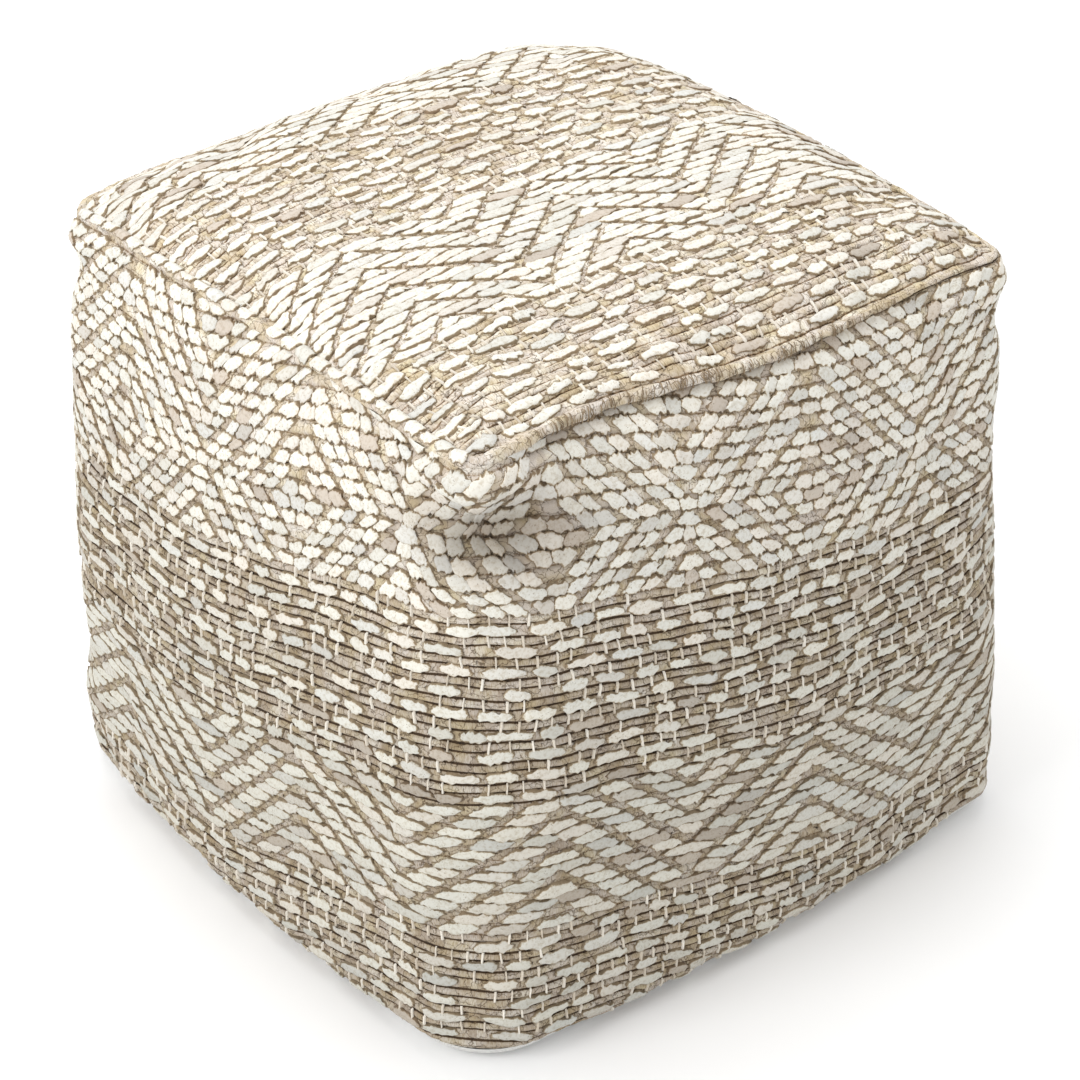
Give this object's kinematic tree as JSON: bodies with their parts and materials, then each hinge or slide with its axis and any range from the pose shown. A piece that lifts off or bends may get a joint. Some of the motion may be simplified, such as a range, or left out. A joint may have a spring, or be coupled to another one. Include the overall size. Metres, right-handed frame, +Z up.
{
  "type": "woven pouf",
  "caption": "Cube-shaped stuffed floor pouf with a handwoven strip cover, a plain canvas base and a zip across the foot of the back wall.",
  "frame": {"origin": "on the floor, under the middle of the pouf", "axes": "+Z up, -Y out of the front wall, +Y out of the back wall that holds the zip, +X to the right seen from the front"},
  "size_m": [0.5039, 0.5012, 0.458],
  "materials": {
    "leather_weave": "matte",
    "hemp_ground": "matte",
    "base_canvas": "matte",
    "liner_cotton": "matte",
    "beads": "matte",
    "zip_tape": "matte",
    "zip_coil": "satin",
    "zip_metal": "satin",
    "zip_thread": "matte",
    "label": "matte"
  },
  "bodies": {
    "pouf": {"top_panel": "leather_weave", "side_band": "leather_weave", "base_panel": "base_canvas", "top_seam_thread": "hemp_ground", "base_seam_thread": "hemp_ground", "band_closing_thread": "hemp_ground", "inner_liner": "liner_cotton", "liner_closing_thread": "zip_thread", "bead_fill": "beads", "zip_tape_upper": "zip_tape", "zip_tape_lower": "zip_tape", "zip_coil_upper": "zip_coil", "zip_coil_lower": "zip_coil", "zip_top_stop_upper": "zip_metal", "zip_top_stop_lower": "zip_metal", "zip_bottom_stop": "zip_metal", "zip_topstitch_upper": "zip_thread", "zip_topstitch_lower": "zip_thread", "zip_end_tack_left": "zip_thread", "zip_end_tack_right": "zip_thread", "care_label": "label"},
    "slider": {"zip_slider": "zip_metal"},
    "pull": {"zip_pull_tab": "zip_metal"}
  },
  "joints": [
    {"name": "zip_slide", "type": "slide", "parent": "pouf", "child": "slider", "axis": [-1, 0, 0], "range_m": [0, 0.26]},
    {"name": "pull_swing", "type": "hinge", "parent": "slider", "child": "pull", "pos_m": [0.133, 0.2428, 0.04], "axis": [0, 0, -1], "range_deg": [0, 160]}
  ]
}
